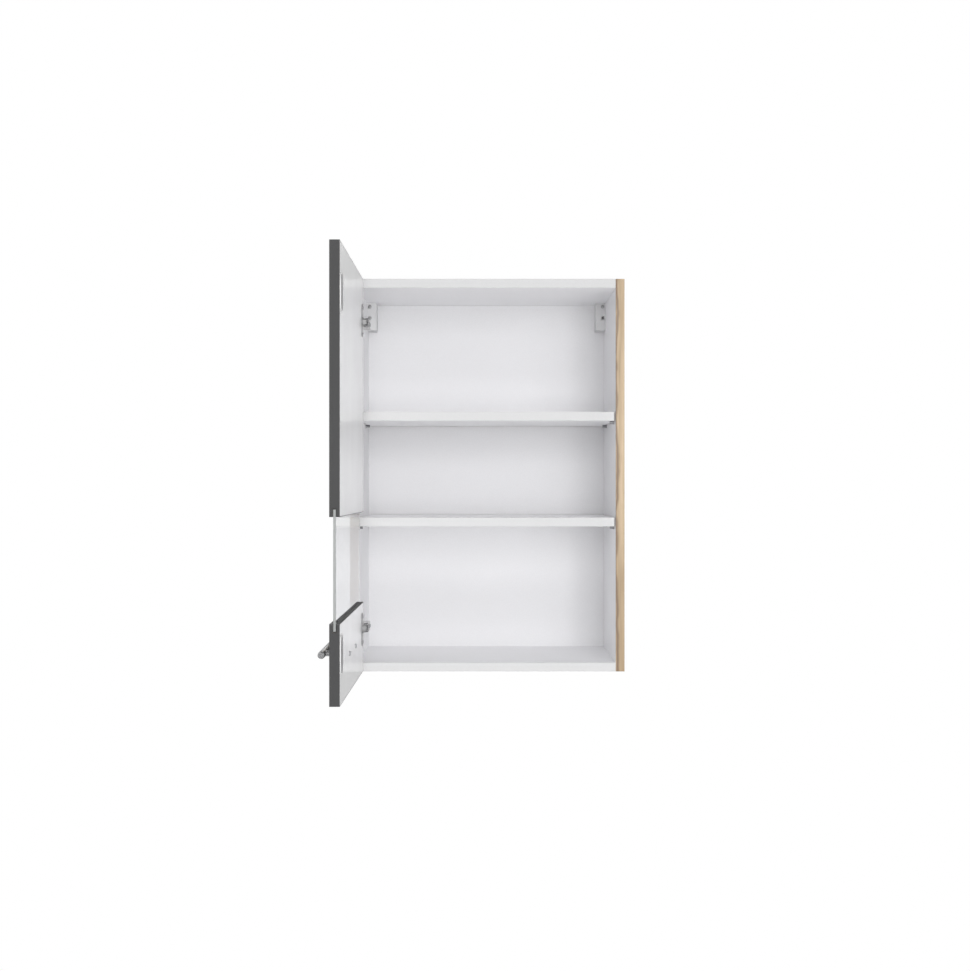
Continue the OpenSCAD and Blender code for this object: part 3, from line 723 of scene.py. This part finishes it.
def add_cover_cap(node):
    """Oval push-in cap of a spare hinge boring: light wall, sunken dish darkened with painted shade, hollow
    plug.
    """
    low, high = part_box(node)
    middle = (low + high) / 2
    half_y, half_z = (high.y - low.y) / 2, (high.z - low.z) / 2
    face_x = high.x - CAP_PLATE
    mesh = bmesh.new()

    def ring(reach, straight, height):
        points = []
        for i in range(CAP_SEGMENTS):
            angle = 2 * math.pi * (i + 0.5) / CAP_SEGMENTS
            z = reach * math.sin(angle)
            z += math.copysign(straight, z)
            points.append((face_x + height, middle.y + reach * math.cos(angle), middle.z + z))
        return [mesh.verts.new(point) for point in points]

    inner, outer = CAP_PLUG_R
    plug_end = low.x - face_x
    rings = [ring(inner, 0, 0), ring(inner, 0, plug_end), ring(outer, 0, plug_end), ring(outer, 0, 0)]
    light_bands = len(rings) + len(CAP_WALL) - 1
    for inset, height in CAP_WALL + CAP_LIP_AND_DISH:
        rings.append(ring(half_y - inset * MM, half_z - half_y, height * MM))
    # Bands from the lip inwards, and the dish's floor, take the dish material, whose dark grey is painted
    # shade.
    for band, (first, second) in enumerate(zip(rings, rings[1:])):
        join_rings(mesh, first, second, 0 if band < light_bands else 1)
    mesh.faces.new(rings[0])
    mesh.faces.new(rings[-1]).material_index = 1
    new_piece(f"{node}_dished", mesh, [CAP_RIM, CAP_DISH_PAINTED_SHADE], "door", node)


# ---------------------------------------------------------------- floor and light

FLOOR_Z = -1.35
FLOOR_R = 2.3
FLOOR_SEGMENTS = 96
FLOOR_GLOW = 0.5
# Share of the radius, from the rim, over which the floor fades out
FLOOR_FADE = 0.6
# How bright the white studio is: seen, mirrored, and as light on dull surfaces
SEEN_WHITE = 1.0
WORLD_GLOSS = 0.52
WORLD_LIGHT = 0.19

# Name, place, what it points at, width and height, power
LIGHTS = [
    ("key", (1.10, FRONT_Y - 3.0, 0.45), (0, 0, 0.35), (0.9, 2.2), 9),
    ("front", (0.40, FRONT_Y - 3.6, 0.60), (0, 0, 0.35), (1.5, 1.6), 57),
    ("low", (0.5, FRONT_Y - 2.1, -1.15), (0, 0, 0.35), (1.8, 0.8), 16),
    ("high", (0.5, FRONT_Y - 2.1, 2.0), (0, 0, 0.35), (1.8, 0.8), 16),
    ("left", (-1.5, FRONT_Y - 2.6, 0.45), (0, 0, 0.35), (0.9, 2.0), 2),
    ("right_side", (2.6, 0.1, 0.9), (0, -0.3, 0.35), (1.6, 2.0), 30),
    ("left_side", (-2.6, -0.1, 0.9), (0, -0.3, 0.35), (1.6, 2.0), 30),
    ("behind", (0.2, 2.6, 1.9), (0, 0, 0.45), (2.2, 1.4), 42),
]


def pale_floor():
    """Pale matt floor that fades out towards its rim."""
    s = Shader("pale_floor", Roughness=0.9, Emission_Strength=FLOOR_GLOW)
    s.principled.inputs["Emission Color"].default_value = (1, 1, 1, 1)
    cloud = s.noise(s.mapping(), scale=0.6, detail=2)
    s.link(s.tones(cloud, grey(0.90), grey(0.92)), "Base Color")
    gradient = s.tree.nodes.new("ShaderNodeTexGradient")
    gradient.gradient_type = "SPHERICAL"
    s.tree.links.new(s.mapping((1 / FLOOR_R,) * 3), gradient.inputs["Vector"])
    s.link(s.range(gradient.outputs["Fac"], 0, 1, low=0.0, high=FLOOR_FADE), "Alpha")
    return s.material


def add_floor():
    mesh = bmesh.new()
    bmesh.ops.create_circle(mesh, cap_ends=True, segments=FLOOR_SEGMENTS, radius=FLOOR_R)
    data = bpy.data.meshes.new("floor")
    mesh.to_mesh(data)
    mesh.free()
    floor = bpy.data.objects.new("floor", data)
    floor.location = (0, 0, FLOOR_Z)
    floor.data.materials.append(pale_floor())
    bpy.context.scene.collection.objects.link(floor)


def add_area(name, location, target, size, power):
    """A soft box lamp, which isn't seen itself."""
    data = bpy.data.lights.new(name, "AREA")
    data.shape = "RECTANGLE"
    data.size, data.size_y = size
    data.energy = power
    light = bpy.data.objects.new(name, data)
    light.location = location
    direction = Vector(target) - Vector(location)
    light.rotation_euler = direction.to_track_quat("-Z", "Y").to_euler()
    light.visible_camera = False
    bpy.context.scene.collection.objects.link(light)


def add_world():
    """A white studio: plain white where it is seen, and a softer light from all round."""
    world = bpy.data.worlds.new("studio")
    world.use_nodes = True
    tree = world.node_tree
    path = tree.nodes.new("ShaderNodeLightPath")
    background = tree.nodes["Background"]
    background.inputs["Color"].default_value = (1, 1, 1, 1)
    strength = WORLD_LIGHT
    for ray, seen in (
        ("Is Glossy Ray", WORLD_GLOSS),
        ("Is Transmission Ray", SEEN_WHITE),
        ("Is Camera Ray", SEEN_WHITE),
    ):
        level = tree.nodes.new("ShaderNodeMapRange")
        tree.links.new(path.outputs[ray], level.inputs["Value"])
        feed(tree, strength, level.inputs["To Min"])
        level.inputs["To Max"].default_value = seen
        strength = level.outputs["Result"]
    tree.links.new(strength, background.inputs["Strength"])
    bpy.context.scene.world = world


# ---------------------------------------------------------------- build

X_AXIS = 0
Y_AXIS = 1

add_camera()
paint_carcass()
paint_door()
paint_hinges()
soften_edges()
add_screws("hinge_cup_screws", "door", X_AXIS)
add_screws("hinge_plate_screws", "carcass", X_AXIS)
add_screws("hinge_arm_screws", "carcass", X_AXIS, pointed=False)
add_screws("handle_screws", "door", X_AXIS, pointed=False)
add_screws("hanger_fixing_screws", "carcass", X_AXIS)
add_screws("hanger_height_screws", "carcass", Y_AXIS, pointed=False, material=ADJUST_STEEL)
add_screws("hanger_depth_screws", "carcass", Y_AXIS, pointed=False, material=ADJUST_STEEL)
add_cover_cap("cover_cap_upper")
add_cover_cap("cover_cap_lower")
add_floor()
add_world()
for light in LIGHTS:
    add_area(*light)
bpy.context.scene.view_settings.view_transform = "Standard"
